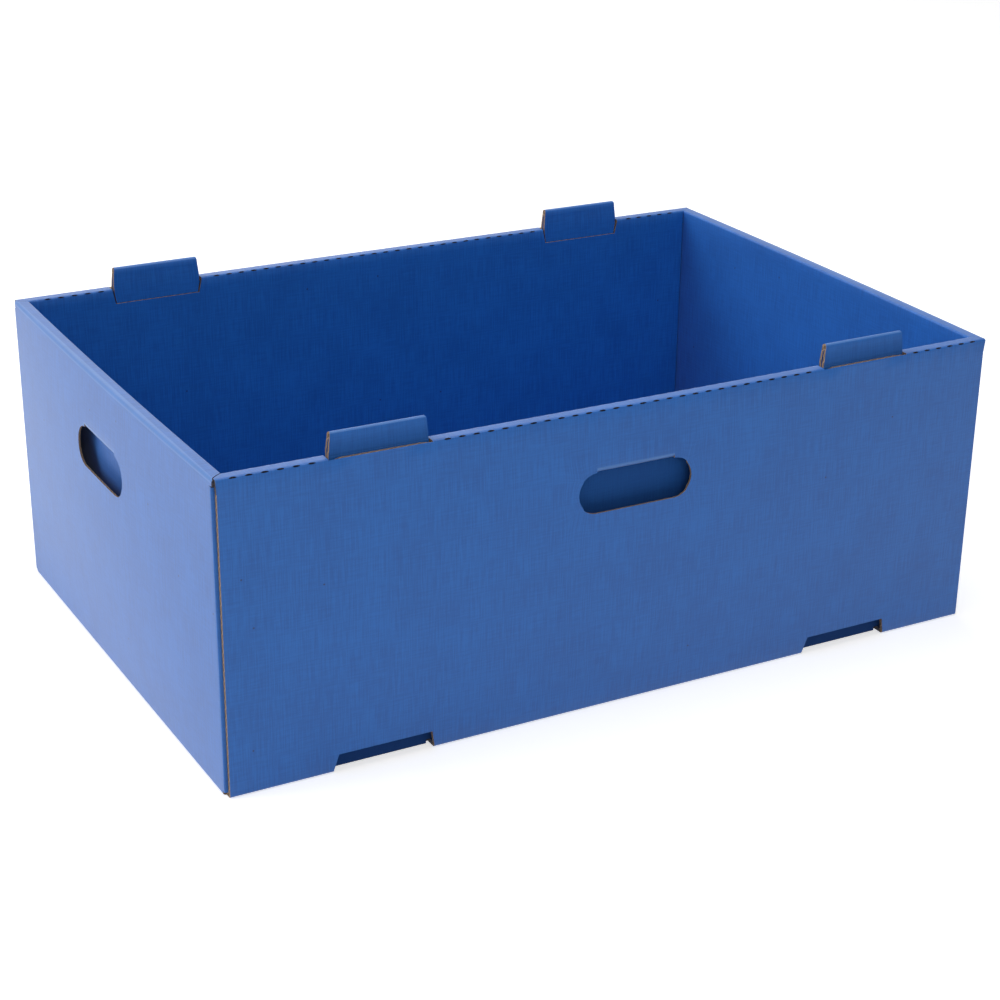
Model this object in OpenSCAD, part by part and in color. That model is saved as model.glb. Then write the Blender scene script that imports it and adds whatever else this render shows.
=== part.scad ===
// Anti-static stacking box: an open corrugated-board tray folded from one die-cut blank.
// Every wall is two plies deep: the board goes up outside, over the rim and down inside.
// +X is the length, +Y the width, +Z up; the origin is the centre of the underside.

/* [Box] */
// Outside length
box_length = 600; // [500:10:800]
// Outside width
box_width = 400; // [300:10:600]
// Height of the rim above the underside
wall_height = 222; // [190:2:400]

/* [Board] */
// Thickness of the corrugated board
board = 3; // [1.5:0.25:4]
// Clearance between two plies that lie on each other
ply_gap = 0.2; // [0.1:0.05:0.5]
// Spare room beside a flap inside a double wall
flap_slack = 0.8; // [0.5:0.1:3]
// Gap below an inner ply that stands on the bottom panel
standing_gap = 0.25; // [0.1:0.05:0.6]

/* [Folds] */
// Outside radius of a perforated rim crease of a long wall
crease_radius = 1.5; // [0.5:0.25:1.5]
// Outside radius of the creases round the bottom panel
bottom_radius = 2; // [0.5:0.25:3]
// Outside radius of the outer rim fold of an end wall
end_fold_radius = 2; // [0.5:0.25:3]
// Inside radius of the upright corner bends
corner_radius = 1; // [0.5:0.25:2]

/* [Corners] */
// How far a long wall's outer ply stops short of the end planes
end_inset = 2.5; // [1:0.25:3]
// Distance from a long wall's face to the outer end of the mitre in the rim
mitre_drop = 3.7; // [3.3:0.1:6]
// Gap between the two rims at a mitre
mitre_gap = 0.8; // [0.3:0.1:1.5]
// Gap between two inner plies in an inside corner
inner_corner_gap = 0.6; // [0.3:0.1:1.5]
// Height of the relief at the top of an end wall's inner ply
relief_height = 12; // [5:1:30]

/* [Perforation] */
// Length of one slit
slit_length = 5; // [2:0.5:8]
// Width of one slit
slit_width = 1.2; // [0.4:0.1:1.5]
// Distance from slit to slit
slit_pitch = 11.5; // [9:0.5:20]
// Uncut crease left beside a tab or a corner
slit_margin = 8; // [4:1:20]

/* [Corner flaps] */
// Length of a corner flap inside a long wall, from the end plane
corner_flap_length = 160; // [150:5:190]
// Gap between a corner flap and the rim above it
corner_flap_drop = 0.5; // [0.3:0.1:2]

/* [Stacking tabs] */
// Distance from the end plane to the middle of a tab
tab_from_end = 111; // [90:1:112]
// Height of a tab above the rim
tab_height = 16; // [10:1:25]
// Width of a tab where it leaves the rim
tab_base_width = 70; // [50:1:72]
// How much a tab narrows on each side towards its top
tab_taper = 2; // [0:0.5:5]
// Radius of the corners at the top of a tab
tab_corner_radius = 2; // [0.5:0.5:4]
// Radius of the fold along the top of a tab, as a share of the board's thickness
tab_fold_share = 0.8; // [0.7:0.05:0.95]
// Room between the two legs of a tab where they leave the rim
tab_leg_gap = 0.7; // [0.5:0.1:1.5]
// How far below the rim the outer ply is cut off in front of a tab
tab_cut_drop = 1; // [0.5:0.25:1.25]
// Room on each side of a tab in the rim
tab_side_gap = 1.1; // [0.5:0.1:3]
// Depth of the window in the inner ply that holds the lip of a tab
window_depth = 11.5; // [6:0.5:20]
// Room below the lip of a tab
lip_gap = 0.3; // [0.2:0.1:1]

/* [Foot notches] */
// Height of a notch
notch_height = 12.3; // [6:0.1:20]
// Room on each side of a tab in the notch of the box above
notch_side_gap = 2; // [1:0.25:5]
// How much a notch narrows on each side towards its top
notch_taper = 2.5; // [0:0.5:6]
// Room on each side of a lock tab in its notch
lock_tab_gap = 0.3; // [0.2:0.1:1]
// Height of the lock tab's edge above the ground
lock_tab_lift = 0.3; // [0.2:0.1:1]
// Room above a tab of the box below, under the corner flap
flap_clearance = 2; // [1:0.5:5]

/* [Hand holes] */
// Width of a hand hole
hole_width = 90; // [70:1:120]
// Height of a hand hole
hole_height = 29; // [20:1:36]
// Depth of a hand hole's upper edge below the rim
hole_drop = 43; // [40:1:80]

/* [Hidden] */
$fn = 48;
blue = [0.24, 0.36, 0.60];
eps = 0.01;
over = 1;
half_length = box_length / 2;
half_width = box_width / 2;
cavity = board + ply_gap + flap_slack;
wall_thickness = 2 * board + cavity;
// Depths from a wall's face
flap_face = board + ply_gap;
flap_back = flap_face + board;
inner_face = board + cavity;
// Half lengths of the plies
outer_half = half_length - end_inset;
inner_half = half_length - wall_thickness - inner_corner_gap;
end_half = half_width - flap_face - board - corner_radius;
// Heights
flap_bottom = board + standing_gap;
flap_top = wall_height - board - corner_flap_drop;
// Hand holes
hole_top = wall_height - hole_drop;
tongue_radius = board + ply_gap / 2;
tongue_axis = hole_top + tongue_radius;
tongue_half = (hole_width - hole_height) / 2;
// Perforation
slit_depth = 3.2 * board;
// Stacking tabs
tab_x = half_length - tab_from_end;
tab_base = tab_base_width / 2;
tab_tip = tab_base - tab_taper;
cut_half = tab_base + tab_side_gap;
window_half = tab_tip + tab_side_gap;
tab_top = wall_height + tab_height;
window_bottom = wall_height - window_depth;
tab_middle = flap_back + ply_gap / 2;
tab_fold_radius = tab_fold_share * board;
lip_back = flap_back + ply_gap + board;
// Foot notches
notch_base = tab_base + notch_side_gap;
notch_top = notch_base - notch_taper;

// A box given by its lowest and highest corners
module span(low, high) {
    translate(low) cube(high - low);
}

// An outline in Y and Z drawn along X
module along_x(from, to) {
    translate([from, 0, 0]) rotate([90, 0, 90]) linear_extrude(to - from) children();
}

// An outline in X and Z drawn along Y
module along_y(from, to) {
    translate([0, to, 0]) rotate([90, 0, 0]) linear_extrude(to - from) children();
}

// What lies outside a rounded edge that runs along X, with its corner at the origin
module edge_waste(length, radius) {
    difference() {
        translate([-over, -over, -over]) cube([length + 2 * over, radius + over, radius + over]);
        translate([-2 * over, radius, radius]) rotate([0, 90, 0]) cylinder(r = radius, h = length + 4 * over);
    }
}

// Both long sides of something drawn for the front
module on_long_sides() {
    children();
    mirror([0, 1, 0]) children();
}

// Both ends of something drawn for the left
module on_ends() {
    children();
    mirror([1, 0, 0]) children();
}

// A hand hole's outline about its upper edge
module hole_outline() {
    radius = hole_height / 2;
    translate([0, -radius]) square([2 * tongue_half, hole_height], center = true);
    for (side = [-1, 1]) translate([side * tongue_half, -radius]) circle(radius);
}

// The cut for a hand hole, in the front wall of a box of this width
module hole_cut(half) {
    along_y(-half - over, -half + board + ply_gap / 2) translate([0, hole_top]) hole_outline();
    span([-tongue_half, -half - over, hole_top - over], [tongue_half, -half + flap_face, tongue_axis]);
}

// The tongue of a hand hole, folded up flat behind the front wall of a box of this width
module hole_tongue(half) {
    translate([-tongue_half, -half + tongue_radius, tongue_axis]) rotate([0, 90, 0])
        cylinder(r = tongue_radius, h = 2 * tongue_half);
    intersection() {
        along_y(-half + flap_face, -half + flap_back) translate([0, hole_top]) mirror([0, 1]) hole_outline();
        span([-hole_width, -half, tongue_axis], [hole_width, half, wall_height]);
    }
}

// Middles of the slits that fit between two ends
function slit_places(from, to) =
    let (count = floor((to - from - slit_length) / slit_pitch) + 1,
         first = (from + to - (count - 1) * slit_pitch) / 2)
    [for (i = [0 : count - 1]) first + i * slit_pitch];

// The slits of one rim crease, with the crease along X through the origin
module slits(turn) {
    near = tab_x - cut_half - slit_margin;
    far = tab_x + cut_half + slit_margin;
    last = inner_half - slit_margin;
    for (x = concat(slit_places(-last, -far), slit_places(-near, near), slit_places(far, last)))
        translate([x, 0, 0]) rotate([turn, 0, 0])
            cube([slit_length, slit_width, slit_depth], center = true);
}

module bottom_panel() {
    span([-half_length, -end_half, 0], [half_length, end_half, board]);
    span([-outer_half, -half_width, 0], [outer_half, half_width, board]);
}

// The rim of the front wall, with its mitred ends
module long_rim() {
    slope = (wall_thickness - mitre_drop) / (wall_thickness - end_inset);
    outer_y = -half_width + mitre_drop - mitre_gap / 2;
    inner_y = -half_width + wall_thickness;
    inner_x = outer_half - (inner_y - outer_y) / slope;
    translate([0, 0, wall_height - board]) linear_extrude(board)
        polygon([[-outer_half, -half_width], [outer_half, -half_width], [outer_half, outer_y],
                 [inner_x, inner_y], [-inner_x, inner_y], [-outer_half, outer_y]]);
}

// The front wall: outer ply, rim and inner ply with its two lock tabs
module long_wall() {
    difference() {
        union() {
            span([-outer_half, -half_width, 0], [outer_half, -half_width + board, wall_height]);
            long_rim();
            span([-inner_half, -half_width + inner_face, flap_bottom],
                 [inner_half, -half_width + wall_thickness, wall_height]);
        }
        translate([-half_length, -half_width, wall_height]) mirror([0, 0, 1])
            edge_waste(box_length, crease_radius);
        translate([-half_length, -half_width + wall_thickness, wall_height])
            mirror([0, 0, 1]) mirror([0, 1, 0]) edge_waste(box_length, crease_radius);
        translate([0, -half_width, wall_height]) slits(45);
        translate([0, -half_width + wall_thickness, wall_height]) slits(-45);
        for (side = [-1, 1]) translate([side * tab_x, 0, 0]) tab_cut();
        hole_cut(half_width);
    }
    hole_tongue(half_width);
}

// The opening in the rim for a stacking tab, and the window under it in the inner ply
module tab_cut() {
    span([-cut_half, -half_width - over, wall_height - tab_cut_drop],
         [cut_half, -half_width + wall_thickness + over, wall_height + over]);
    span([-cut_half, -half_width + board, wall_height - board - eps],
         [cut_half, -half_width + wall_thickness + over, wall_height + over]);
    along_y(-half_width + inner_face - over, -half_width + wall_thickness + over)
        polygon([[-window_half, window_bottom], [window_half, window_bottom],
                 [cut_half, wall_height - board], [-cut_half, wall_height - board]]);
}

// The left wall: outer ply, rim and inner ply
module end_wall() {
    bend = corner_radius + board;
    slope = (wall_thickness - mitre_drop) / (wall_thickness - end_inset);
    inner_y = half_width - wall_thickness - mitre_gap / 2;
    knee_x = end_inset;
    knee_y = inner_y + (wall_thickness - knee_x) * slope;
    bend_x = bend * (1 - cos(45)) - half_length;
    bend_y = min(end_half + bend * sin(45), knee_y);
    difference() {
        union() {
            span([-half_length, -end_half, 0], [-half_length + board, end_half, wall_height]);
            translate([0, 0, wall_height - board]) linear_extrude(board)
                polygon([[-half_length, -end_half], [bend_x, -bend_y], [-half_length + knee_x, -knee_y],
                         [-half_length + wall_thickness, -inner_y], [-half_length + wall_thickness, inner_y],
                         [-half_length + knee_x, knee_y], [bend_x, bend_y], [-half_length, end_half]]);
            span([-half_length + inner_face, -inner_y, flap_bottom],
                 [-half_length + wall_thickness, inner_y, wall_height]);
            span([-half_length + inner_face, -half_width + inner_face + ply_gap, flap_bottom],
                 [-half_length + wall_thickness, half_width - inner_face - ply_gap, wall_height - relief_height]);
        }
        translate([-half_length, half_width, wall_height]) rotate([0, 0, -90]) mirror([0, 0, 1])
            edge_waste(box_width, end_fold_radius);
        translate([-half_length + wall_thickness, -half_width, wall_height]) rotate([0, 0, 90])
            mirror([0, 0, 1]) edge_waste(box_width, crease_radius);
        rotate([0, 0, -90]) hole_cut(half_length);
    }
    rotate([0, 0, -90]) hole_tongue(half_length);
}

// The front left corner bend and the corner flap that it carries, with its stacking tab
module corner_flap() {
    outside = corner_radius + board;
    height = flap_top - flap_bottom;
    bend_x = -half_length + outside;
    bend_y = -half_width + flap_face + outside;
    translate([bend_x, bend_y, flap_bottom]) intersection() {
        difference() {
            cylinder(r = outside, h = height);
            translate([0, 0, -over]) cylinder(r = corner_radius, h = height + 2 * over);
        }
        translate([-2 * outside, -2 * outside, 0]) cube([2 * outside + eps, 2 * outside + eps, height]);
    }
    difference() {
        span([bend_x, -half_width + flap_face, flap_bottom],
             [-half_length + corner_flap_length, -half_width + flap_back, flap_top]);
        span([-tab_x - notch_base - ply_gap, -half_width, 0],
             [-tab_x + notch_base + ply_gap, 0, tab_height + flap_clearance]);
    }
    translate([-tab_x, 0, 0]) stacking_tab();
}

// A stacking tab: up behind the outer ply, over and down to its lip in the window
module stacking_tab() {
    arch = tab_top - tab_fold_radius;
    lip_bottom = window_bottom + lip_gap;
    intersection() {
        translate([0, -half_width, 0]) difference() {
            union() {
                along_x(-tab_base, tab_base) polygon([
                    [flap_face, flap_top - over], [flap_back, flap_top - over], [flap_back, lip_bottom],
                    [lip_back, lip_bottom], [lip_back, wall_height], [tab_middle + tab_fold_radius, arch],
                    [tab_middle - tab_fold_radius, arch], [flap_face, wall_height]]);
                translate([-tab_base, tab_middle, arch]) rotate([0, 90, 0])
                    cylinder(r = tab_fold_radius, h = 2 * tab_base);
            }
            along_x(-tab_base - over, tab_base + over) polygon([
                [flap_back, lip_bottom - over], [flap_back + ply_gap, lip_bottom - over],
                [flap_back - ply_gap + tab_leg_gap, wall_height], [tab_middle, arch - tab_fold_radius / 2],
                [flap_back - ply_gap, wall_height]]);
        }
        along_y(-half_width, 0) tab_outline(lip_bottom);
    }
}

// A stacking tab seen from the front
module tab_outline(bottom) {
    shoulder = tab_top - tab_corner_radius;
    shoulder_half = tab_tip + tab_taper * tab_corner_radius / tab_height;
    polygon([[-tab_tip, bottom], [tab_tip, bottom], [tab_base, wall_height], [shoulder_half, shoulder],
             [-shoulder_half, shoulder], [-tab_base, wall_height]]);
    for (side = [-1, 1]) translate([side * (shoulder_half - tab_corner_radius), shoulder]) circle(tab_corner_radius);
    translate([tab_corner_radius - shoulder_half, shoulder - eps])
        square([2 * (shoulder_half - tab_corner_radius), tab_corner_radius + eps]);
}

// A foot notch of the front wall, cut in the outer ply and in the bottom panel
module foot_notch() {
    along_y(-half_width - over, -half_width + board + ply_gap / 2)
        polygon([[-notch_base, -over], [notch_base, -over], [notch_base, 0], [notch_top, notch_height],
                 [-notch_top, notch_height], [-notch_base, 0]]);
    translate([0, -half_width, -over]) linear_extrude(board + over + eps)
        polygon([[-notch_base, 0], [notch_base, 0], [notch_top, inner_face],
                 [notch_top, wall_thickness + ply_gap], [-notch_top, wall_thickness + ply_gap],
                 [-notch_top, inner_face]]);
}

// A lock tab at the foot of the front wall's inner ply, in the notch of the bottom panel
module lock_tab() {
    half = notch_top - lock_tab_gap;
    span([-half, -half_width + inner_face, lock_tab_lift], [half, -half_width + wall_thickness, flap_bottom + eps]);
}

module folded_tray() {
    color(blue) {
        difference() {
            union() {
                bottom_panel();
                on_long_sides() long_wall();
                on_ends() end_wall();
            }
            on_long_sides() translate([-half_length, -half_width, 0]) edge_waste(box_length, bottom_radius);
            on_ends() translate([-half_length, half_width, 0]) rotate([0, 0, -90])
                edge_waste(box_width, bottom_radius);
            on_long_sides() for (side = [-1, 1]) translate([side * tab_x, 0, 0]) foot_notch();
        }
        on_long_sides() on_ends() corner_flap();
        on_long_sides() for (side = [-1, 1]) translate([side * tab_x, 0, 0]) lock_tab();
    }
}

folded_tray();
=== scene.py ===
import bpy
import numpy as np
from mathutils import Matrix


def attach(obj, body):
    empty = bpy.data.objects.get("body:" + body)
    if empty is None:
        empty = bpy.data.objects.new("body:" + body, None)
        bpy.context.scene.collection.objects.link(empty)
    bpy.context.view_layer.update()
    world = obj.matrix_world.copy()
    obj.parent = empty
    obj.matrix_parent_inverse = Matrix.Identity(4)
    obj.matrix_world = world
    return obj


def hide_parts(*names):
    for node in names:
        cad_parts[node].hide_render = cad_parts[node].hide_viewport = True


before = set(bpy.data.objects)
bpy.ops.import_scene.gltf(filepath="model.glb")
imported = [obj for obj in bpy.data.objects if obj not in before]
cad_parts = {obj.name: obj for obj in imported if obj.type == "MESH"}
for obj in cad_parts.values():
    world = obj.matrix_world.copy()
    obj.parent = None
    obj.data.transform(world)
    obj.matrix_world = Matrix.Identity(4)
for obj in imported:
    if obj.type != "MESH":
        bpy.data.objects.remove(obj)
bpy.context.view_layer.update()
print("frame loaded")

# Sizes of the folded board in millimetres, with depths counted inwards from a wall's outer face
tray = {
    "halfLength": 300.0,
    "halfWidth": 200.0,
    "rim": 222.0,
    "board": 3.0,
    "flapFace": 3.2,
    "innerFace": 7.0,
    "wall": 10.0,
    "crease": 1.5,
    "insideCrease": 0.4,
    "bottomCrease": 2.0,
    "endFold": 2.0,
    "outerEnd": 297.5,
    "innerEnd": 289.4,
    "bottomEnd": 294.0,
    "bendStart": 193.6,
    "bendRadius": 1.0,
    "bendInside": 0.15,
    "flapTip": 140.0,
    "flapFoot": 3.25,
    "flapTop": 218.5,
    "rollFoot": 217.0,
    "flapGap": 40.5,
    "cutHalf": 36.1,
    "windowHalf": 33.8,
    "windowBottom": 210.5,
    "notchTop": 13.0,
    "notchFoot": 37.0,
    "notchLeft": 33.3,
    "notchRight": 35.2,
}

# Stacking tabs: distances from the middle of the front and the rear wall, half widths and rounding, and their section
# as points of depth and height with the centre and radius of the fold between them, in millimetres
tabs = {
    "front": (187.2, 190.2),
    "rear": (189.4, 187.0),
    "halfBase": 34.7,
    "halfTop": 33.2,
    "halfLip": 33.0,
    "corner": 0.6,
    "outerUp": [[3.5, 218.5], [3.7, 222], [3.5, 227], [3.95, 233]],
    "outerFold": ((6.2, 235.7), 2.3),
    "outerDown": [[8.45, 233], [8.8, 229], [9.1, 224.5], [9.3, 218], [9.4, 210.8]],
    "backUp": [[6.2, 218.5], [5.7, 222], [5.5, 228], [5.75, 232]],
    "backFold": ((6.25, 233.6), 0.3),
    "backDown": [[6.75, 232], [6.95, 229], [7.1, 224.5], [6.9, 218], [6.4, 210.8]],
}

# Mitre of the rim: the line it follows from the outer to the inner corner, counted inwards from the long wall,
# half the gap at each corner, and how far the fold of an end wall reaches round it, in millimetres
mitre = {
    "depths": (3.3, 6.0, 7.6, 10.0),
    "ends": (298.6, 296.1, 293.5, 289.7),
    "frontGap": (0.5, 0.06),
    "rearGap": (0.2, 0.04),
    "frontReach": (5.3, 1.4),
    "rearReach": (1.4, 1.4),
    "bendDrop": 1.0,
}

# Hand holes: straight part, rounding, middle height and the radius of the fold above them, in millimetres
hole = {"straight": 30.5, "radius": 14.5, "middle": 164.5, "fold": 3.1, "crush": 1.6}

# Perforation of the rim creases: half length of a slit, pitch, and half opening angles in degrees
slits = {"half": 2.5, "pitch": 10.42, "wide": 24.0, "narrow": 7.0, "each": 28, "clearMiddle": 188.5, "clear": 42.0,
         "wave": 0.22}

# Outward bow of the walls in millimetres, at the height of the hand holes and at the rim
bow = {"longHole": 4.5, "longRim": 1.4, "endHole": 5.5, "endRim": 2.0}


# Points of a circle: centre plus radius times cosine and sine of the angle
def arc(centre, radius, angles):
    turn = np.radians(angles)
    return np.stack([centre[0] + radius * np.cos(turn), centre[1] + radius * np.sin(turn)], -1)


# A row of points at one height: each depth with the same height
def level(depths, height):
    depths = np.asarray(depths, float)
    return np.stack([depths, np.full(len(depths), height)], -1)


# A column of points at one depth: each height with the same depth
def upright(depth, heights):
    heights = np.asarray(heights, float)
    return np.stack([np.full(len(heights), depth), heights], -1)


# Length along a line of points: running sum of the distances between them
def lengthAlong(points):
    steps = np.linalg.norm(np.diff(points, axis=0), axis=1)
    return np.concatenate([[0.0], np.cumsum(steps)])


# Signed volume of a closed surface of quads: a sixth of the sum of the triple products of its triangles
def volumeOf(points, quads):
    a, b, c, d = (points[quads[:, k]] for k in range(4))
    return (np.cross(a, b) * c).sum() + (np.cross(a, c) * d).sum()


# A piece of board on a grid: two faces and a cut edge wherever a kept cell has no kept neighbour
def boardPatch(front, back, keep, along, up):
    across, high = front.shape[:2]
    number = np.arange(across * high).reshape(across, high)
    behind = number + across * high
    alongGrid = np.repeat(along[:, None], high, 1)
    upGrid = np.repeat(up[None, :], across, 0)
    i, j = np.nonzero(keep)
    corners = [(i, j), (i + 1, j), (i + 1, j + 1), (i, j + 1)]
    face = np.stack([number[c] for c in corners], 1)
    faceUv = np.stack([np.stack([alongGrid[c], upGrid[c]], -1) for c in corners], 1)
    quads = [face, face[:, ::-1] + across * high]
    uvs = [faceUv, faceUv[:, ::-1]]
    kinds = [np.zeros(len(face), int), np.zeros(len(face), int)]
    padded = np.pad(keep, 1).astype(int)
    for direction in (0, 1):
        inside = padded[:, 1:-1] if direction == 0 else padded[1:-1, :]
        change = np.diff(inside, axis=direction)
        for sign in (-1, 1):
            i, j = np.nonzero(change == sign)
            start, stop = (i, j), (i, j + 1)
            if direction == 1:
                start, stop = (i + 1, j), (i, j)
            ring = np.stack([number[start], behind[start], behind[stop], number[stop]], 1)
            place = upGrid if direction == 0 else alongGrid
            one, zero = np.ones(len(i)), np.zeros(len(i))
            ends = [(place[start], one), (place[start], zero), (place[stop], zero), (place[stop], one)]
            ringUv = np.stack([np.stack(e, -1) for e in ends], 1)
            turn = slice(None) if sign == -1 else slice(None, None, -1)
            quads.append(ring[:, turn])
            uvs.append(ringUv[:, turn])
            kinds.append(np.ones(len(i), int))
    points = np.concatenate([front.reshape(-1, 3), back.reshape(-1, 3)])
    quads, uvs, kinds = np.concatenate(quads), np.concatenate(uvs), np.concatenate(kinds)
    if volumeOf(points, quads) < 0:
        quads, uvs = quads[:, ::-1], uvs[:, ::-1]
    return points, quads, uvs, kinds


# One surface out of several: equal points become one, and walls between neighbours fall away
def joinPatches(patches):
    starts = np.cumsum([0] + [len(p[0]) for p in patches])
    points = np.concatenate([p[0] for p in patches])
    quads = np.concatenate([p[1] + s for p, s in zip(patches, starts)])
    uvs = np.concatenate([p[2] for p in patches])
    kinds = np.concatenate([p[3] for p in patches])
    _, first, place = np.unique(np.round(points, 2), axis=0, return_index=True, return_inverse=True)
    quads = place.ravel()[quads]
    _, same, count = np.unique(np.sort(quads, 1), axis=0, return_inverse=True, return_counts=True)
    single = count[same.ravel()] == 1
    quads, uvs, kinds = quads[single], uvs[single], kinds[single]
    used, compact = np.unique(quads, return_inverse=True)
    return points[first][used], compact.reshape(quads.shape), uvs, kinds


# A grid near a hand hole: its rectangle is rounded by moving each point to the nearest larger circle,
# and the move fades with the square of the distance outside
def roundHole(x, z):
    reachX = hole["straight"] + hole["radius"]
    s = np.clip((np.abs(x) - hole["straight"]) / hole["radius"], 0, 1)
    t = np.clip((z - hole["middle"]) / hole["radius"], -1, 1)
    scale = np.maximum(s, np.abs(t)) / np.maximum(np.hypot(s, t), 1e-9) - 1
    outsideX = np.maximum(np.abs(x) - reachX, 0)
    outsideZ = np.maximum(np.abs(z - hole["middle"]) - hole["radius"], 0)
    fade = np.clip(1 - np.hypot(outsideX, outsideZ) / 18, 0, 1) ** 2
    return x + hole["radius"] * s * scale * fade * np.sign(x), z + hole["radius"] * t * scale * fade


# Cells of a grid that lie in the hand hole, told by their middles before rounding
def inHole(x, z):
    low, high = hole["middle"] - hole["radius"], hole["middle"] + hole["radius"]
    wide = (np.abs(x) < hole["straight"] + hole["radius"]) & (z > low) & (z < high)
    return wide | ((np.abs(x) < hole["straight"]) & (z > low) & (z < high + hole["fold"]))


# How much thinner the board is beside the cut of a hand hole: a loss that falls off with the distance from it
def crushed(x, z):
    outX = np.abs(np.abs(x) - hole["straight"] - hole["radius"]) + 9 * (np.abs(z - hole["middle"]) > 14.6)
    outZ = np.abs(z - hole["middle"] + hole["radius"]) + 9 * (np.abs(x) > 45.1)
    aboveZ = np.abs(z - hole["middle"] - hole["radius"]) + 9 * ((np.abs(x) > 45.1) | (np.abs(x) < 30.6))
    return hole["crush"] * np.clip(1 - np.minimum(np.minimum(outX, outZ), aboveZ) / 3, 0, 1)


# Distance of a stacking tab from the middle of its wall; side is -1 for the front, half is -1 for the left
def tabAt(side, half):
    return tabs["front" if side < 0 else "rear"][int(half > 0)]


# Half the gap of the mitre at one corner
def gapAt(side, half):
    return mitre["frontGap" if side < 0 else "rearGap"][int(half > 0)]


# Reach of an end wall's fold at one corner
def reachAt(side, half):
    return mitre["frontReach" if side < 0 else "rearReach"][int(half > 0)]


# Middles between neighbouring lines
def middles(lines):
    return (lines[1:] + lines[:-1]) / 2


# Heights of the grid lines in an outer ply, close together beside the hand hole
plyHeights = np.array([18, 40, 75, 110, 132, 141, 150, 153.6, 157.2, 160.9, 164.5, 168.1, 171.8, 175.4, 179,
                       179 + hole["fold"], 190, 202, 212])
innerHeights = np.array([200, 170, 130, 90, 50, 15], float)
foldSteps = np.array([0, 22, 45, 68, 90])


# Places of the slits along a long rim: odd half pitches from its middle, clear of the tabs
def slitPlaces():
    places = slits["pitch"] * (np.arange(-slits["each"], slits["each"]) + 0.5)
    return places[np.abs(np.abs(places) - slits["clearMiddle"]) > slits["clear"]]


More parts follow.
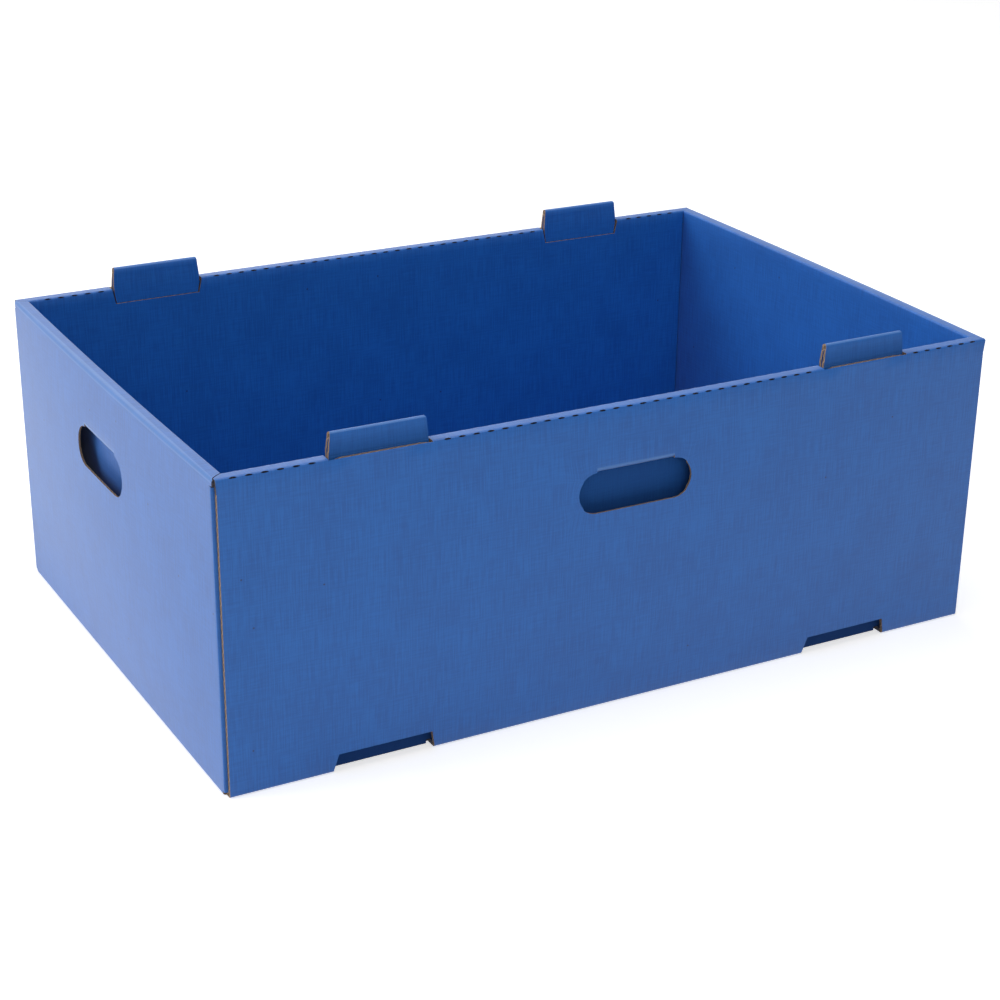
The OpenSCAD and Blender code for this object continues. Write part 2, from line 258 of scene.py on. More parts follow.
# A long wall with half of the bottom: one strip that runs from the middle of the bottom up the outer ply,
# over the rim and down the inner ply; side is -1 for the front and 1 for the rear
def longWall(side):
    rim, board, inner = tray["rim"], tray["board"], tray["innerFace"]
    small, crease, cut = tray["insideCrease"], tray["crease"], tray["cutHalf"]
    bottomDepths = [200, 150, 100, 60, 30, 10.2, 7, 4.5]
    ply = np.concatenate([[tray["notchTop"]], plyHeights])
    down = np.concatenate([[214, tray["windowBottom"]], innerHeights, [tray["flapFoot"], 0.3]])
    sweep = np.linspace(-90, -180, 5)
    sections = [
        (level(bottomDepths, 0), level(bottomDepths, board)),
        (arc((2, 2), tray["bottomCrease"], sweep), arc((3.4, 3.4), small, sweep)),
        (upright(0, ply), upright(board, ply)),
        (arc((crease, rim - crease), crease, 180 - foldSteps),
         arc((board + small, rim - board - small), small, 180 - foldSteps)),
        (level([3.25, 5, 6.75], rim), level([4.2, 5, 5.8], rim - board)),
        (arc((tray["wall"] - crease, rim - crease), crease, 90 - foldSteps),
         arc((inner - small, rim - board - small), small, 90 - foldSteps)),
        (upright(tray["wall"], down), upright(inner, down)),
    ]
    starts = np.cumsum([0] + [len(s[0]) for s in sections])
    outer = np.concatenate([s[0] for s in sections])
    back = np.concatenate([s[1] for s in sections])
    section = np.repeat(np.arange(len(sections)), [len(s[0]) for s in sections])
    places = slitPlaces()
    offsets = slits["half"] * np.array([-1, -0.4, 0.4, 1])
    between = places + np.sign(-places) * slits["pitch"] / 2
    tabOffsets = np.array([-40, -cut, -28, -14, 0, 14, 28, cut, 40])
    tabLines = [half * tabAt(side, half) + tabOffsets for half in (-1, 1)]
    extra = np.array([hole["straight"], 40.3, 283, tray["outerEnd"]])
    lines = np.concatenate([(places[:, None] + offsets).ravel(), between, extra, -extra, *tabLines])
    lines = np.unique(np.round(lines, 3))
    count, high = len(lines), len(outer)
    # The creases are pinched at the slits and swell between them
    nearest = np.abs(lines[:, None] - places[None, :]).min(1)
    swell = np.where(nearest < slits["pitch"] / 2 + 0.1, -np.cos(2 * np.pi * nearest / slits["pitch"]), 0)
    lean = np.select([section == 3, section == 5], [-slits["wave"], slits["wave"]], 0)
    opening = np.where(nearest < slits["half"] - 0.01, slits["wide"], slits["narrow"])
    grids = []
    for profile, radius, which in ((outer, crease, 0), (back, small, 1)):
        x = np.repeat(lines[:, None], high, 1)
        depth = np.repeat(profile[None, :, 0], count, 0) + swell[:, None] * lean[None, :]
        z = np.repeat(profile[None, :, 1], count, 0)
        # Ends: the rim is mitred, the inner ply is shorter
        mitred = np.interp(profile[:, 0], mitre["depths"], mitre["ends"])
        for row, half in ((0, -1), (-1, 1)):
            ends = np.select([section == 6, section >= 3, (section == 0) & (profile[:, 0] > 7.1)],
                             [tray["innerEnd"], mitred - gapAt(side, half), tray["bottomEnd"]], tray["outerEnd"])
            x[row] = half * ends
        # Sides of the notch, the opening in the rim and the window
        offset = np.full(high, tray["notchFoot"])
        windowSides = np.interp(profile[:, 1], [200, tray["windowBottom"], 214], [34.2, tray["windowHalf"], 34.5])
        for towards, head in ((-1, tray["notchLeft"]), (1, tray["notchRight"])):
            plySides = np.interp(profile[:, 1], [tray["notchTop"], 18, 200], [head, 34.5, cut])
            sides = np.select([section == 2, section == 6, section > 2], [plySides, windowSides, cut], offset)
            for half in (-1, 1):
                place = half * tabAt(side, half)
                x[np.argmin(np.abs(lines - (place + towards * cut)))] = place + towards * sides
        # Slits: the opening angle is wide in the middle and narrow at the ends
        for first, turn in ((3, 135), (5, 45)):
            piece = sections[first][which]
            centreDepth = piece[-1, 0] if first == 3 else piece[0, 0]
            centreHeight = piece[0, 1] if first == 3 else piece[-1, 1]
            for step, sense in ((1, 1), (3, -1)):
                angle = np.radians(turn + sense * opening)
                depth[:, starts[first] + step] = centreDepth + radius * np.cos(angle) + swell * lean[starts[first]]
                z[:, starts[first] + step] = centreHeight + radius * np.sin(angle)
        inPly = section == 2
        if which == 1:
            depth[:, inPly] -= crushed(x[:, inPly], z[:, inPly])
        x[:, inPly], z[:, inPly] = roundHole(x[:, inPly], z[:, inPly])
        grids.append([x, depth, z])
    # The outer ply's cut edge in front of a tab lies level
    cutLine = starts[3] + 1
    fromTab = np.min([np.abs(lines - half * tabAt(side, half)) for half in (-1, 1)], axis=0)
    behindTab = fromTab < cut - 1
    grids[0][1][behindTab, cutLine] = 0.8
    grids[1][1][behindTab, cutLine] = board
    grids[1][2][behindTab, cutLine] = grids[0][2][behindTab, cutLine]
    surfaces = [np.stack([g[0], side * (tray["halfWidth"] - g[1]), g[2]], -1) for g in grids]
    mid = middles(lines)
    inTab = np.min([np.abs(mid - half * tabAt(side, half)) for half in (-1, 1)], axis=0) < cut
    inSlit = np.abs(mid[:, None] - places[None, :]).min(1) < slits["half"]
    keep = np.ones((count - 1, high - 1), bool)
    keep[inTab, 5:starts[2]] = False
    keep[inTab, cutLine:starts[6] + 1] = False
    keep[inSlit, starts[3] + 1:starts[3] + 3] = False
    keep[inSlit & (np.abs(mid) < 280), starts[5] + 1:starts[5] + 3] = False
    keep[~inTab, -1] = False
    plyCells = slice(starts[2], starts[3] - 1)
    keep[:, plyCells] &= ~inHole(mid[:, None], middles(ply)[None, :])
    return boardPatch(surfaces[0], surfaces[1], keep, lines, lengthAlong(outer)), lines


# Grid lines across an end wall
endLines = np.array([0, 15, hole["straight"], 34, 37.5, 41, 43.5, 45, 55, 70, 90, 110, 130, 150, 170, 184,
                     tray["bendStart"]])
endLines = np.concatenate([-endLines[:0:-1], endLines])
tabShares = np.array([-1, -0.97, -0.94, -0.5, 0, 0.5, 0.94, 0.97, 1])


# The outer ply of an end wall with the two corner flaps that bend round into the long walls: one belt
# that follows a line in plan; end is -1 for the left and 1 for the right
def endBelt(end):
    start, clear, bendCount = tray["bendStart"], tray["flapGap"], 6
    flaps = []
    for side in (-1, 1):
        place = tabAt(side, end)
        flaps.append(np.unique(np.concatenate([place + tabs["halfBase"] * tabShares, [place - clear, place + clear],
                                               [tray["flapTip"], 240, 270, 285]])))
    plans = []
    for depth, radius in ((0, tray["bendRadius"]), (tray["board"], tray["bendInside"])):
        endFace, longFace = tray["halfLength"] - depth, tray["halfWidth"] - tray["flapFace"] - depth
        corner = arc((endFace - radius, radius - longFace), radius, np.linspace(-90, 0, bendCount - 1))
        bend = np.concatenate([corner, [[endFace, -start]]])
        front = np.concatenate([level(flaps[0], -longFace), bend])
        rear = np.concatenate([level(flaps[1], -longFace), bend])
        wall = upright(endFace, endLines[1:-1])
        plans.append(np.concatenate([front, wall, rear[::-1] * [1, -1]]))
    heights = np.concatenate([[tray["flapFoot"]], plyHeights, [tray["flapTop"]]])
    wallStart, wallStop = len(flaps[0]) + bendCount, len(plans[0]) - len(flaps[1]) - bendCount
    # The flaps reach higher than the wall, and the top of a bend slopes down towards its flap
    top = np.full(len(plans[0]), tray["flapTop"])
    slope = mitre["bendDrop"] * np.linspace(1, 0, bendCount)
    top[len(flaps[0]):wallStop + bendCount] = tray["rollFoot"]
    top[len(flaps[0]):wallStart] -= slope
    top[wallStop:wallStop + bendCount] -= slope[::-1]
    surfaces = []
    for plan in plans:
        x = np.repeat(plan[:, None, 0], len(heights), 1)
        y = np.repeat(plan[:, None, 1], len(heights), 1)
        z = np.repeat(heights[None, :], len(plan), 0)
        z[:, -1] = top
        if plan is plans[1]:
            x = x + crushed(y, z)
        y, z = roundHole(y, z)
        surfaces.append(np.stack([end * x, y, z], -1))
    place, heightMiddle = middles(plans[0]), middles(heights)
    wallCell = np.zeros(len(place), bool)
    wallCell[wallStart - 1:wallStop] = True
    keep = np.ones((len(place), len(heightMiddle)), bool)
    keep[wallCell] = ~inHole(place[wallCell, 1][:, None], heightMiddle[None, :])
    for side in (-1, 1):
        keep[~wallCell & (place[:, 1] * side > 0) & (np.abs(place[:, 0] - tabAt(side, end)) < clear), 0] = False
    return boardPatch(surfaces[0], surfaces[1], keep, lengthAlong(plans[0]), heights)


# A strip of an end wall from a profile, with the half widths that each line of the profile ends at, front and rear
def endStrip(end, outer, back, frontEnds, rearEnds):
    surfaces = []
    for profile in (outer, back):
        y = np.repeat(endLines[:, None], len(profile), 1)
        y[0], y[-1] = -frontEnds, rearEnds
        x = np.repeat(end * (tray["halfLength"] - profile[None, :, 0]), len(endLines), 0)
        z = np.repeat(profile[None, :, 1], len(endLines), 0)
        surfaces.append(np.stack([x, y, z], -1))
    keep = np.ones((len(endLines) - 1, len(outer) - 1), bool)
    return boardPatch(surfaces[0], surfaces[1], keep, endLines, lengthAlong(outer))


# The rest of an end wall: its foot under the belt, and its outer fold, rim and inner ply above it
def endRoll(end):
    rim, board, small, crease = tray["rim"], tray["board"], tray["insideCrease"], tray["crease"]
    fold, start = tray["endFold"], tray["bendStart"]
    sweep = np.linspace(-90, -180, 5)
    footOuter = np.concatenate([level([6, 4], 0), arc((2, 2), 2, sweep), [[0, tray["flapFoot"]]]])
    footBack = np.concatenate([level([6, 4.5], board), arc((3.2, 3.2), 0.2, sweep), [[board, tray["flapFoot"]]]])
    turn = np.linspace(180, 90, 7)
    down = np.concatenate([[214, 210, 209.5], innerHeights, [tray["flapFoot"]]])
    outer = np.concatenate([upright(0, [tray["rollFoot"], 217.6]), arc((fold, rim - fold), fold, turn),
                            level([3, 5, 6.75], rim),
                            arc((tray["wall"] - crease, rim - crease), crease, 90 - foldSteps),
                            upright(tray["wall"], down)])
    back = np.concatenate([upright(board, [tray["rollFoot"], 217.4]),
                           arc((board + small, rim - board - small), small, turn),
                           level([4.2, 5, 5.8], rim - board),
                           arc((7 - small, rim - board - small), small, 90 - foldSteps),
                           upright(tray["innerFace"], down)])
    fromEnd = tray["halfLength"] - np.array(mitre["ends"])
    fromMiddle = tray["halfWidth"] - np.array(mitre["depths"])
    both = []
    for side in (-1, 1):
        reach = reachAt(side, end)
        corner = [start + reach, start + max(reach, 3.0)]
        ends = np.interp(outer[:, 0], [0, 0.8, *fromEnd], [*corner, *fromMiddle]) - gapAt(side, end)
        ends[0] = start
        ends[-len(down) + 2:] = start
        both.append(ends)
    flat = np.full(len(footOuter), start)
    return [endStrip(end, footOuter, footBack, flat, flat), endStrip(end, outer, back, both[0], both[1])]


# A stacking tab: up behind the outer ply, over, and down to its lip in the window, narrower and rounded at the top
def stackingTab(side, half):
    turn = np.linspace(165, 15, 9)
    outer = np.concatenate([tabs["outerUp"], arc(*tabs["outerFold"], turn), tabs["outerDown"]])
    back = np.concatenate([tabs["backUp"], arc(*tabs["backFold"], turn), tabs["backDown"]])
    height = outer[:, 1]
    base, top = tabs["halfBase"], tabs["halfTop"]
    width = base + (top - base) * np.clip((height - tray["rim"]) / 16, 0, 1)
    width = width - tabs["corner"] * (1 - np.sqrt(1 - np.clip((height - 237) / 1, 0, 1) ** 2))
    width[-4:] = np.interp(height[-4:], [210.8, 222, 229], [tabs["halfLip"], base, top + 0.9])
    surfaces = []
    for profile in (outer, back):
        x = half * tabAt(side, half) + half * tabShares[:, None] * width[None, :]
        y = np.repeat(side * (tray["halfWidth"] - profile[None, :, 0]), len(tabShares), 0)
        z = np.repeat(profile[None, :, 1], len(tabShares), 0)
        surfaces.append(np.stack([x, y, z], -1))
    keep = np.ones((len(tabShares) - 1, len(outer) - 1), bool)
    return boardPatch(surfaces[0], surfaces[1], keep, base * tabShares, lengthAlong(outer))


# The tongue of a hand hole: from the outer ply round the fold and flat up behind it, with the hole's own outline
def holeTongue(lines, onLong, sign):
    axis = hole["middle"] + hole["radius"] + hole["fold"]
    turn = np.linspace(180, 360, 9)
    up = np.array([186, 192, 198, 203, 206, 208])
    outer = np.concatenate([arc((hole["fold"], axis), hole["fold"], turn), upright(2 * hole["fold"], up)])
    back = np.concatenate([arc((hole["fold"], axis), hole["fold"] - tray["board"], turn), upright(3.2, up)])
    fromHinge = np.maximum(outer[:, 1] - axis + hole["fold"], 0) * (np.arange(len(outer)) > 8)
    rise = np.clip(hole["radius"] - fromHinge, -hole["radius"], hole["radius"])
    width = hole["straight"] + np.where(fromHinge > 0, np.sqrt(hole["radius"] ** 2 - rise ** 2), 0)
    share = lines[np.abs(lines) <= hole["straight"] + 0.01] / hole["straight"]
    surfaces = []
    for profile in (outer, back):
        wide = share[:, None] * width[None, :]
        depth = np.repeat(profile[None, :, 0], len(share), 0)
        z = np.repeat(profile[None, :, 1], len(share), 0)
        if onLong:
            surfaces.append(np.stack([wide, sign * (tray["halfWidth"] - depth), z], -1))
        else:
            surfaces.append(np.stack([sign * (tray["halfLength"] - depth), wide, z], -1))
    keep = np.ones((len(share) - 1, len(outer) - 1), bool)
    return boardPatch(surfaces[0], surfaces[1], keep, share * hole["straight"], lengthAlong(outer))


# How far a wall bows out: a parabola in height through the hole's and the rim's values for the outer layers,
# a straight line for the inner ply, both times a parabola along the wall
def bowOf(coordinate, half, other, span, z, atHole, atRim):
    low, high = hole["middle"], tray["rim"]
    factors = np.linalg.solve([[low, low ** 2], [high, high ** 2]], [atHole, atRim])
    height = np.clip(z, 0, high)
    outerBow = factors[0] * height + factors[1] * height ** 2
    innerBow = atRim * height / high
    depth = half - np.abs(coordinate)
    layer = np.clip((depth - 6.3) / 0.6, 0, 1)
    amount = (1 - layer) * outerBow + layer * innerBow
    return np.sign(coordinate) * amount * np.clip(1 - (other / span) ** 2, 0, 1) * (depth < 12)


# Cut faces deep in the shade, told by where they are: in the slits of the creases, at the corners under the
# mitre, and in the slots of the bottom panel
def shadedCuts(points, quads, kinds):
    middle = points[quads].mean(1)
    x, y, z = np.abs(middle[:, 0]), np.abs(middle[:, 1]), middle[:, 2]
    nearSlit = np.abs(x[:, None] - np.abs(slitPlaces())).min(1) < slits["half"] + 0.05
    inSlit = nearSlit & (z > 218.4) & (y > 189.9) & (x < 289.2)
    onBend = (x > 289.2) & (y > 189.5) & (z > 213) & ((y < 197.1) | (z > 218.6) | (x > 297.6))
    inSlot = (z < 3.1) & (x > 140) & (x < 240) & (y < 196.5) & (y > 189)
    return (kinds > 0) & (inSlit | onBend | inSlot)


# The whole tray as one sheet
def buildTray():
    patches = []
    for side in (-1, 1):
        wall, lines = longWall(side)
        patches += [wall, holeTongue(lines, True, side), endBelt(side), holeTongue(endLines, False, side)]
        patches += endRoll(side)
        patches += [stackingTab(side, half) for half in (-1, 1)]
    points, quads, uvs, kinds = joinPatches(patches)
    kinds = np.where(shadedCuts(points, quads, kinds), 2, kinds)
    x, y, z = points.T
    moveX = bowOf(x, tray["halfLength"], y, 196, z, bow["endHole"], bow["endRim"])
    moveY = bowOf(y, tray["halfWidth"], x, tray["outerEnd"], z, bow["longHole"], bow["longRim"])
    points = (points + np.stack([moveX, moveY, np.zeros(len(z))], -1)) / 1000
    return points, quads, uvs / 1000, kinds


# A mesh object out of points and quads, with one UV map and material numbers
def meshObject(name, points, quads, uvs, kinds):
    mesh = bpy.data.meshes.new(name)
    mesh.vertices.add(len(points))
    mesh.vertices.foreach_set("co", points.astype(np.float32).ravel())
    mesh.loops.add(quads.size)
    mesh.loops.foreach_set("vertex_index", quads.astype(np.int32).ravel())
    mesh.polygons.add(len(quads))
    mesh.polygons.foreach_set("loop_start", np.arange(0, quads.size, 4, dtype=np.int32))
    mesh.polygons.foreach_set("material_index", kinds.astype(np.int32))
    mesh.polygons.foreach_set("use_smooth", np.ones(len(quads), bool))
    layer = mesh.uv_layers.new(name="sheet")
    layer.data.foreach_set("uv", uvs.astype(np.float32).ravel())
    mesh.update(calc_edges=True)
    mesh.validate()
    mesh.set_sharp_from_angle(angle=np.radians(38))
    thing = bpy.data.objects.new(name, mesh)
    bpy.context.scene.collection.objects.link(thing)
    return thing


# A number in a shader: arithmetic on it makes Math nodes
class Number:
    def __init__(self, graph, socket):
        self.graph = graph
        self.socket = socket

    def math(self, operation, *others, clamp=False):
        node = self.graph.nodes.new("ShaderNodeMath")
        node.operation = operation
        node.use_clamp = clamp
        for slot, value in enumerate([self, *others]):
            if isinstance(value, Number):
                self.graph.links.new(value.socket, node.inputs[slot])
            else:
                node.inputs[slot].default_value = value
        return Number(self.graph, node.outputs[0])

    def __add__(self, other):
        return self.math("ADD", other)

    def __sub__(self, other):
        return self.math("SUBTRACT", other)

    def __mul__(self, other):
        return self.math("MULTIPLY", other)

    def __rsub__(self, other):
        return (self * -1.0) + other

    __radd__ = __add__
    __rmul__ = __mul__


# A node of any type with its settings, and socket values or links by name
def addNode(graph, kind, settings=None, **sockets):
    node = graph.nodes.new(kind)
    for key, value in (settings or {}).items():
        setattr(node, key, value)
    for key, value in sockets.items():
        name = key.replace("_", " ")
        if isinstance(value, Number):
            graph.links.new(value.socket, node.inputs[name])
        elif isinstance(value, bpy.types.NodeSocket):
            graph.links.new(value, node.inputs[name])
        else:
            node.inputs[name].default_value = value
    return node


# A new material: its graph, its shader and its sheet coordinates
def newMaterial(name, **constants):
    material = bpy.data.materials.new(name)
    material.use_nodes = True
    graph = material.node_tree
    graph.nodes.clear()
    shader = addNode(graph, "ShaderNodeBsdfPrincipled", None, **constants)
    output = addNode(graph, "ShaderNodeOutputMaterial")
    graph.links.new(shader.outputs[0], output.inputs[0])
    sheet = addNode(graph, "ShaderNodeUVMap", {"uv_map": "sheet"}).outputs[0]
    return material, graph, shader, sheet


# Noise of the sheet coordinates stretched by a scale along and a scale up
def stretchedNoise(graph, sheet, along, up, detail=2.0, shift=0.0):
    scaled = addNode(graph, "ShaderNodeMapping", None, Vector=sheet, Scale=(along, up, 1.0),
                     Location=(shift, shift, shift)).outputs[0]
    noise = addNode(graph, "ShaderNodeTexNoise", {"noise_dimensions": "2D"}, Vector=scaled, Scale=1.0,
                    Detail=detail)
    return Number(graph, noise.outputs[0])


# A smooth step of a number between two values
def ramp(number, low, high):
    node = number.graph.nodes.new("ShaderNodeMapRange")
    node.interpolation_type = "SMOOTHSTEP"
    number.graph.links.new(number.socket, node.inputs[0])
    node.inputs[1].default_value = low
    node.inputs[2].default_value = high
    return Number(number.graph, node.outputs[0])


# A mix of two colours, each a tuple or a socket
def mixColour(graph, factor, first, second, blend="MIX"):
    node = addNode(graph, "ShaderNodeMix", {"data_type": "RGBA", "blend_type": blend})
    for slot, value in ((0, factor), (6, first), (7, second)):
        if isinstance(value, Number):
            graph.links.new(value.socket, node.inputs[slot])
        elif isinstance(value, bpy.types.NodeSocket):
            graph.links.new(value, node.inputs[slot])
        else:
            node.inputs[slot].default_value = value
    return node.outputs[2]


# Blue printed liner: two blues, the specks' colour, cell and radius in metres, the gloss of the sheet,
# and the colours and strengths of the painted shade and of the painted highlight with wear along the creases
liner = {
    "dark": (0.0005, 0.094, 0.385, 1),
    "light": (0.005, 0.133, 0.50, 1),
    "speck": (0.004, 0.01, 0.05, 1),
    "speckCell": 0.055,
    "speckRadius": 0.0009,
    "roughness": 0.5,
    "sheen": 0.4,
    "sheenRoughness": 0.35,
    "bump": 0.12,
    "shade": (0.0, 0.035, 0.17, 1),
    "shadeAmount": 0.5,
    "shadeRoughness": 0.4,
    # painted highlight along the creases, with some rubbed wear
    "highlightAndWear": (0.16, 0.33, 0.66, 1),
    "highlightAndWearAmount": 0.33,
}


# One where a number lies between two values and zero elsewhere, with limits as soft as the last value
def within(number, low, high, soft=0.2):
    return ramp(number, low - soft, low + soft) * (1.0 - ramp(number, high - soft, high + soft))


# Zones of painted shade and of painted highlight with wear, in millimetres: each pair is where a zone starts and
# ends, or where it fades
zones = {
    "longPly": (191.8, 196.4),
    "endPly": (292.6, 297.0),
    "longStop": (290.5, 291.5),
    "endStop": (189, 190),
    "plyHeights": (0.16, 212),
    "notch": (12, 18),
    "tabFoot": (222.3, 222.7),
    "tabFade": (226, 238),
    "tabSide": (-150, -140),
    "foldOut": (297.4, 298.2),
    "foldHeights": (219.4, 222.4),
    "tabTop": (236.8, 237.6),
    "hinge": (180.2, 182.4),
    "longFace": (199.2, 199.8),
    "endFace": (299.2, 299.8),
    "hingeHalf": (30, 31),
}


# Where the liner is in the shade: on the layers between the two plies of a wall, most in the notches,
# and on the front tabs, most at their foot
def shadeOf(x, y, z):
    absX, absY = x.math("ABSOLUTE"), y.math("ABSOLUTE")
    inLong = within(absY, *zones["longPly"]) * (1.0 - ramp(absX, *zones["longStop"]))
    inEnd = within(absX, *zones["endPly"]) * (1.0 - ramp(absY, *zones["endStop"]))
    between = (inLong + inEnd * 0.3) * within(z, *zones["plyHeights"], 0.05)
    onTab = ramp(z, *zones["tabFoot"]) * (1.0 - ramp(z, *zones["tabFade"]) * 0.7) * (1.0 - ramp(y, *zones["tabSide"]))
    inNotch = between * (1.0 - ramp(z, *zones["notch"]))
    return between + inNotch * 0.8 + onTab * 0.7


# Painted highlight, with some rubbed wear: the liner is lighter along the ends' outer folds, on the tops of the tabs
# and above the hand holes, where light catches the creases
def highlightAndWearOf(x, y, z):
    absX, absY = x.math("ABSOLUTE"), y.math("ABSOLUTE")
    onEnd = ramp(absX, *zones["foldOut"]) * within(z, *zones["foldHeights"], 0.4)
    hinge = within(z, *zones["hinge"], 0.5)
    onLong = hinge * ramp(absY, *zones["longFace"]) * (1.0 - ramp(absX, *zones["hingeHalf"]))
    onSide = hinge * ramp(absX, *zones["endFace"]) * (1.0 - ramp(absY, *zones["hingeHalf"]))
    return onEnd + ramp(z, *zones["tabTop"]) + onLong + onSide


# The liner's material: fine streaks along the flutes, fainter ones across, soft mottling and a few specks,
# mixed by the zones towards the colour of the painted highlight with wear and of the painted shade, with a rougher
# surface in the painted shade
def linerMaterial():
    material, graph, shader, sheet = newMaterial("blue_liner", Sheen_Weight=liner["sheen"],
                                                Sheen_Roughness=liner["sheenRoughness"])
    fine = stretchedNoise(graph, sheet, 1100, 45, 3.0)
    across = stretchedNoise(graph, sheet, 60, 900, 2.0, 7.0)
    cloud = stretchedNoise(graph, sheet, 28, 22, 3.0, 3.0)
    tone = fine * 0.5 + across * 0.25 + cloud * 0.25
    colour = mixColour(graph, ramp(tone, 0.32, 0.68), liner["dark"], liner["light"])
    cells = addNode(graph, "ShaderNodeTexVoronoi", {"voronoi_dimensions": "2D"}, Vector=sheet,
                    Scale=1 / liner["speckCell"])
    chosen = addNode(graph, "ShaderNodeSeparateColor", None, Color=cells.outputs[1])
    near = 1.0 - ramp(Number(graph, cells.outputs[0]) * liner["speckCell"],
                      liner["speckRadius"] * 0.5, liner["speckRadius"])
    colour = mixColour(graph, near * ramp(Number(graph, chosen.outputs[0]), 0.78, 0.79) * 0.8, colour, liner["speck"])
    place = addNode(graph, "ShaderNodeTexCoord").outputs["Object"]
    parts = addNode(graph, "ShaderNodeSeparateXYZ", None, Vector=place)
    x, y, z = (Number(graph, socket) * 1000.0 for socket in parts.outputs)
    shade = shadeOf(x, y, z)
    # painted highlight along the folds, hinges and tab tops, with some rubbed wear, mixed into the colour
    colour = mixColour(graph, highlightAndWearOf(x, y, z) * liner["highlightAndWearAmount"], colour, liner["highlightAndWear"])
    colour = mixColour(graph, shade * liner["shadeAmount"], colour, liner["shade"])
    graph.links.new(colour, shader.inputs["Base Color"])
    roughness = shade * liner["shadeRoughness"] + liner["roughness"]
    graph.links.new(roughness.socket, shader.inputs["Roughness"])
    height = fine * 0.5 + across * 0.3 + cloud * 0.2
    bump = addNode(graph, "ShaderNodeBump", None, Height=height, Strength=liner["bump"], Distance=0.0006)
    graph.links.new(bump.outputs[0], shader.inputs["Normal"])
    return material


# Raw cut edge: paper colours, the painted shade of the flute hollows, the two colours of a cut in the shade, and the
# flute's period in metres
kraft = {
    "paper": (0.36, 0.235, 0.14, 1),
    "fibre": (0.55, 0.40, 0.27, 1),
    # painted shade of the flute hollows
    "hollowShade": (0.05, 0.03, 0.02, 1),
    "shadeDark": (0.02, 0.025, 0.05, 1),
    "shadeLight": (0.10, 0.075, 0.06, 1),
    "period": 0.0066,
    "roughness": 0.85,
    "shadeRoughness": 0.9,
}


# The cut edge's material: pale liners at both faces, and a wavy fluted sheet between them over hollows painted dark
# as shade
def kraftMaterial():
    material, graph, shader, sheet = newMaterial("kraft_edge", Roughness=kraft["roughness"])
    parts = addNode(graph, "ShaderNodeSeparateXYZ", None, Vector=sheet)
    along, across = Number(graph, parts.outputs[0]), Number(graph, parts.outputs[1]) * 1000.0
    wave = (along * (2 * np.pi / kraft["period"])).math("SINE") * 0.33 + 0.5
    distance = (across - wave).math("ABSOLUTE")
    sheetEdge = 1.0 - ramp(distance, 0.10, 0.2)
    fromMiddle = (across - 0.5).math("ABSOLUTE")
    facing = ramp(fromMiddle, 0.36, 0.42)
    paper = sheetEdge.math("MAXIMUM", facing)
    grain = stretchedNoise(graph, sheet, 1500, 1500, 2.0)
    # the hollows between the fluted sheet and the liners get a painted shade colour
    colour = mixColour(graph, paper, kraft["hollowShade"], kraft["paper"])
    colour = mixColour(graph, grain * 0.35, colour, kraft["fibre"])
    graph.links.new(colour, shader.inputs["Base Color"])
    return material


# Walls of the slits and cuts under the mitre: torn fibres in the shade, mixed by a fine noise
def slitMaterial():
    material, graph, shader, sheet = newMaterial("slit_edge", Roughness=kraft["shadeRoughness"])
    grain = stretchedNoise(graph, sheet, 900, 900, 2.0)
    colour = mixColour(graph, ramp(grain, 0.35, 0.7), kraft["shadeDark"], kraft["shadeLight"])
    graph.links.new(colour, shader.inputs["Base Color"])
    return material


points, quads, uvs, kinds = buildTray()
sheetTray = meshObject("tray_board", points, quads, uvs, kinds)
sheetTray.data.materials.append(linerMaterial())
sheetTray.data.materials.append(kraftMaterial())
sheetTray.data.materials.append(slitMaterial())
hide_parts("folded_tray")
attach(sheetTray, "root")
print("tray built with", len(quads), "quads")

# Light: the sky's level, what the camera and reflections see the floor glow with, and the point the lamps aim at;
# then each lamp's strength in watts, its size and its place in metres
studio = {
    "sky": 0.16,
    "floor": (0.85, 0.85, 0.85, 1),
    "floorHalf": 12.0,
    "floorHeight": -0.0003,
    "cameraGlow": 0.6,
    "glossyGlow": 1.3,
    "target": (0.0, 0.0, 0.1),
}
lamps = {
    "key_lamp": (138.0, 3.0, (-4.0, 1.8, 2.6)),
    "back_lamp": (19.0, 2.2, (0.3, 2.6, 1.6)),
    "top_lamp": (6.5, 0.8, (0.05, -0.15, 1.4)),
    "front_lamp": (12.5, 1.6, (-0.6, -2.2, 1.5)),
}


# A square lamp at a place, turned so that its back points away from the target
def addLamp(name, power, size, place):
    light = bpy.data.lights.new(name, "AREA")
    light.energy = power
    light.size = size
    thing = bpy.data.objects.new(name, light)
    bpy.context.scene.collection.objects.link(thing)
    away = np.array(place) - np.array(studio["target"])
    away = away / np.linalg.norm(away)
    right = np.cross([0, 0, 1], away)
    right = right / np.linalg.norm(right)
    rows = np.stack([right, np.cross(away, right), away], 1)
    thing.matrix_world = Matrix.Translation(place) @ Matrix(rows.tolist()).to_4x4()


for name, values in lamps.items():
    addLamp(name, *values)

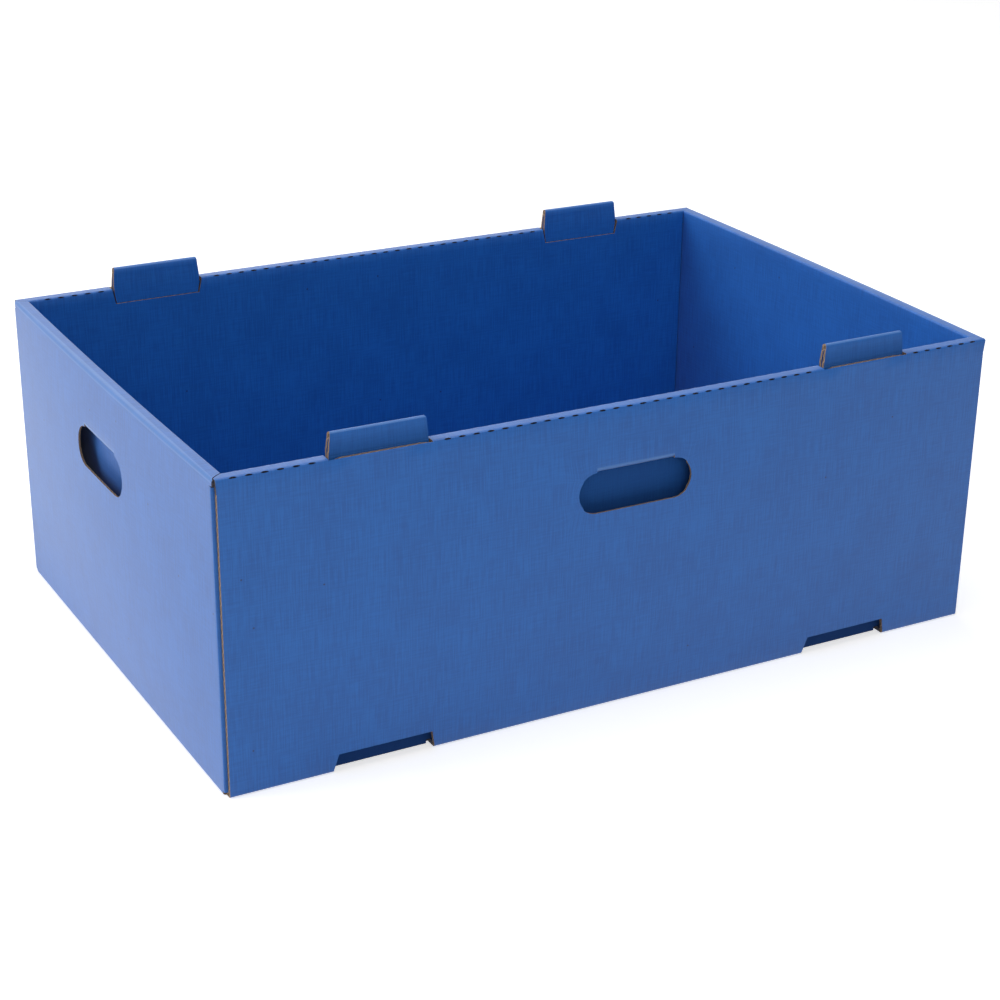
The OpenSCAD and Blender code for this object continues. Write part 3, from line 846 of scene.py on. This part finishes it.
# Floor: a pale plane a hair under the tray, brighter to the camera and in reflections
edge, under = studio["floorHalf"], studio["floorHeight"]
floorMesh = bpy.data.meshes.new("floor")
floorCorners = [(-edge, -edge, under), (edge, -edge, under), (edge, edge, under), (-edge, edge, under)]
floorMesh.from_pydata(floorCorners, [], [(0, 1, 2, 3)])
floor = bpy.data.objects.new("floor", floorMesh)
bpy.context.scene.collection.objects.link(floor)
floorMaterial, floorGraph, floorShader = newMaterial("floor_white", Base_Color=studio["floor"], Roughness=0.9,
                                                    Emission_Strength=1.0)[:3]
floorRays = addNode(floorGraph, "ShaderNodeLightPath")
toCamera = Number(floorGraph, floorRays.outputs["Is Camera Ray"])
toGlossy = Number(floorGraph, floorRays.outputs["Is Glossy Ray"])
glow = toCamera * studio["cameraGlow"] + toGlossy * studio["glossyGlow"]
floorGraph.links.new(glow.socket, floorShader.inputs["Emission Color"])
floor.data.materials.append(floorMaterial)

# Sky: even light for the scene, and plain white where the camera or a reflection looks past the floor
world = bpy.data.worlds.new("studio")
bpy.context.scene.world = world
world.use_nodes = True
sky = world.node_tree
sky.nodes.clear()
even = addNode(sky, "ShaderNodeBackground", None, Color=(1, 1, 1, 1), Strength=studio["sky"])
white = addNode(sky, "ShaderNodeBackground", None, Color=(1, 1, 1, 1), Strength=1.0)
seen = addNode(sky, "ShaderNodeLightPath")
choice = addNode(sky, "ShaderNodeMixShader")
skyOut = addNode(sky, "ShaderNodeOutputWorld")
bright = Number(sky, seen.outputs["Is Camera Ray"]).math("MAXIMUM", Number(sky, seen.outputs["Is Glossy Ray"]))
sky.links.new(bright.socket, choice.inputs[0])
sky.links.new(even.outputs[0], choice.inputs[1])
sky.links.new(white.outputs[0], choice.inputs[2])
sky.links.new(choice.outputs[0], skyOut.inputs[0])
print("light and floor made")

# Camera at the photo's place: focal length in pixels of a 1000 pixel wide image, and the view's axes
view = {
    "focal": 2187.3,
    "centre": (527.4, 552.3),
    "place": (-0.7354, -1.3539, 0.7256),
    "right": (0.873174, -0.487145, 0.016037),
    "down": (-0.186796, -0.364847, -0.912137),
    "ahead": (0.450194, 0.793459, -0.409572),
}
camera = bpy.data.cameras.new("photo_camera")
camera.sensor_width = 36.0
camera.lens = view["focal"] / 1000 * 36
camera.shift_x = (500 - view["centre"][0]) / 1000
camera.shift_y = (view["centre"][1] - 500) / 1000
camera.clip_end = 50
cameraThing = bpy.data.objects.new("photo_camera", camera)
bpy.context.scene.collection.objects.link(cameraThing)
axes = np.stack([view["right"], -np.array(view["down"]), -np.array(view["ahead"])], 1)
cameraThing.matrix_world = Matrix.Translation(view["place"]) @ Matrix(axes.tolist()).to_4x4()
bpy.context.scene.camera = cameraThing
bpy.context.scene.view_settings.view_transform = "Standard"
